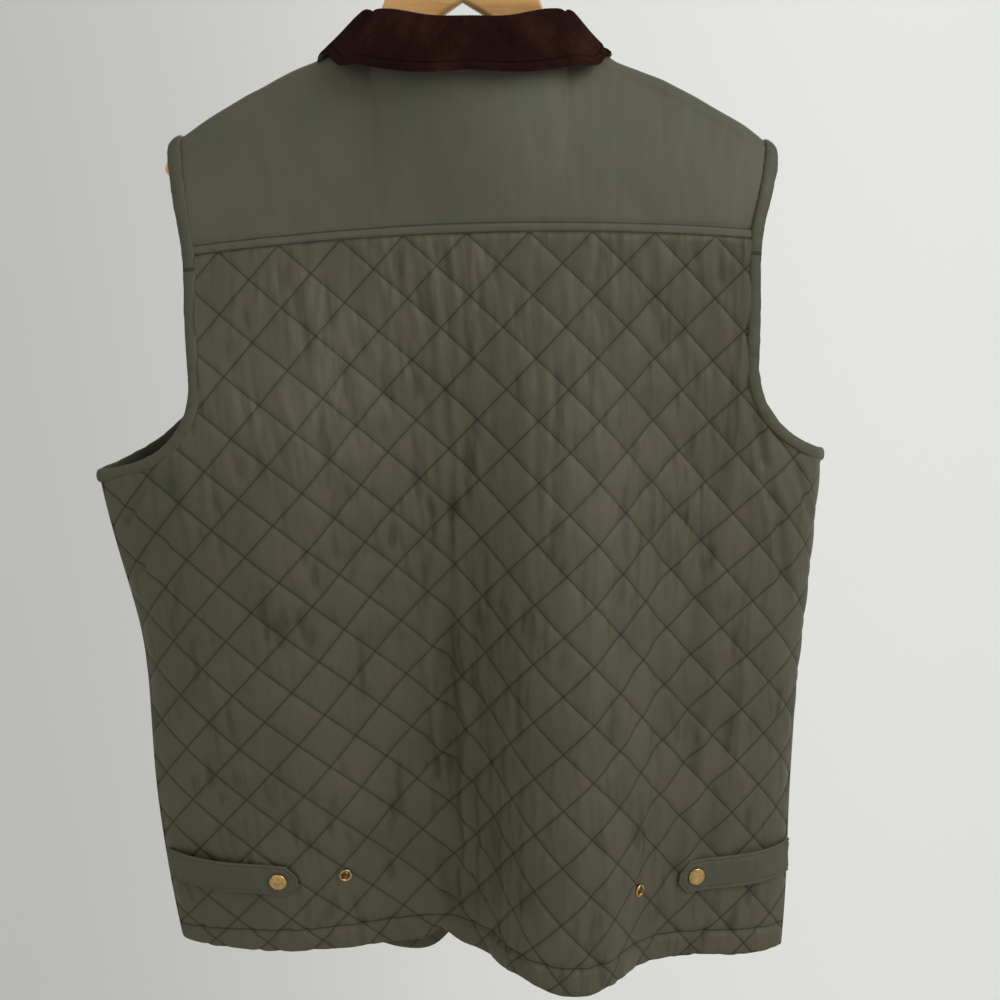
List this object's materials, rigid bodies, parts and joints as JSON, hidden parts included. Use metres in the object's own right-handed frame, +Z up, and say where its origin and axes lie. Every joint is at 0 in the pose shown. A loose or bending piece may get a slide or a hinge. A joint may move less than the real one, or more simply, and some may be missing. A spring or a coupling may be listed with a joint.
{
  "type": "quilted vest on hanger",
  "caption": "Diamond-quilted sleeveless vest with a plain back yoke and a corduroy collar, hanging on a wooden hanger by its hook.",
  "frame": {"origin": "the inside top of the hanger's hook, where a rod carries it", "axes": "+Z up, the garment's back faces +Y, +X is the wearer's left"},
  "size_m": [0.5423, 0.1667, 0.8754],
  "materials": {
    "quilted_shell": "dark olive-green quilted shell cloth over thin wadding, slightly lustrous",
    "plain_shell": "dark olive-green plain shell cloth, unquilted, slightly lustrous",
    "corduroy": "dark brown fine-wale corduroy, matt pile",
    "snaps": "satin brass snap caps and studs",
    "hanger_wood": "clear-varnished pale golden hardwood",
    "hook_wire": "bright plated steel wire"
  },
  "bodies": {
    "root": {"back_panel": "quilted_shell", "front_left": "quilted_shell", "front_right": "quilted_shell", "back_yoke": "plain_shell", "placket": "plain_shell", "armhole_binding_left": "plain_shell", "armhole_binding_right": "plain_shell", "tab_left": "plain_shell", "tab_right": "plain_shell", "collar": "corduroy", "tab_cap_left": "snaps", "tab_cap_right": "snaps", "stud_left": "snaps", "stud_right": "snaps", "front_cap_1": "snaps", "front_cap_2": "snaps", "front_cap_3": "snaps", "front_cap_4": "snaps", "front_cap_5": "snaps", "front_cap_6": "snaps", "hanger_wood": "hanger_wood", "hanger_hook": "hook_wire"}
  },
  "joints": []
}
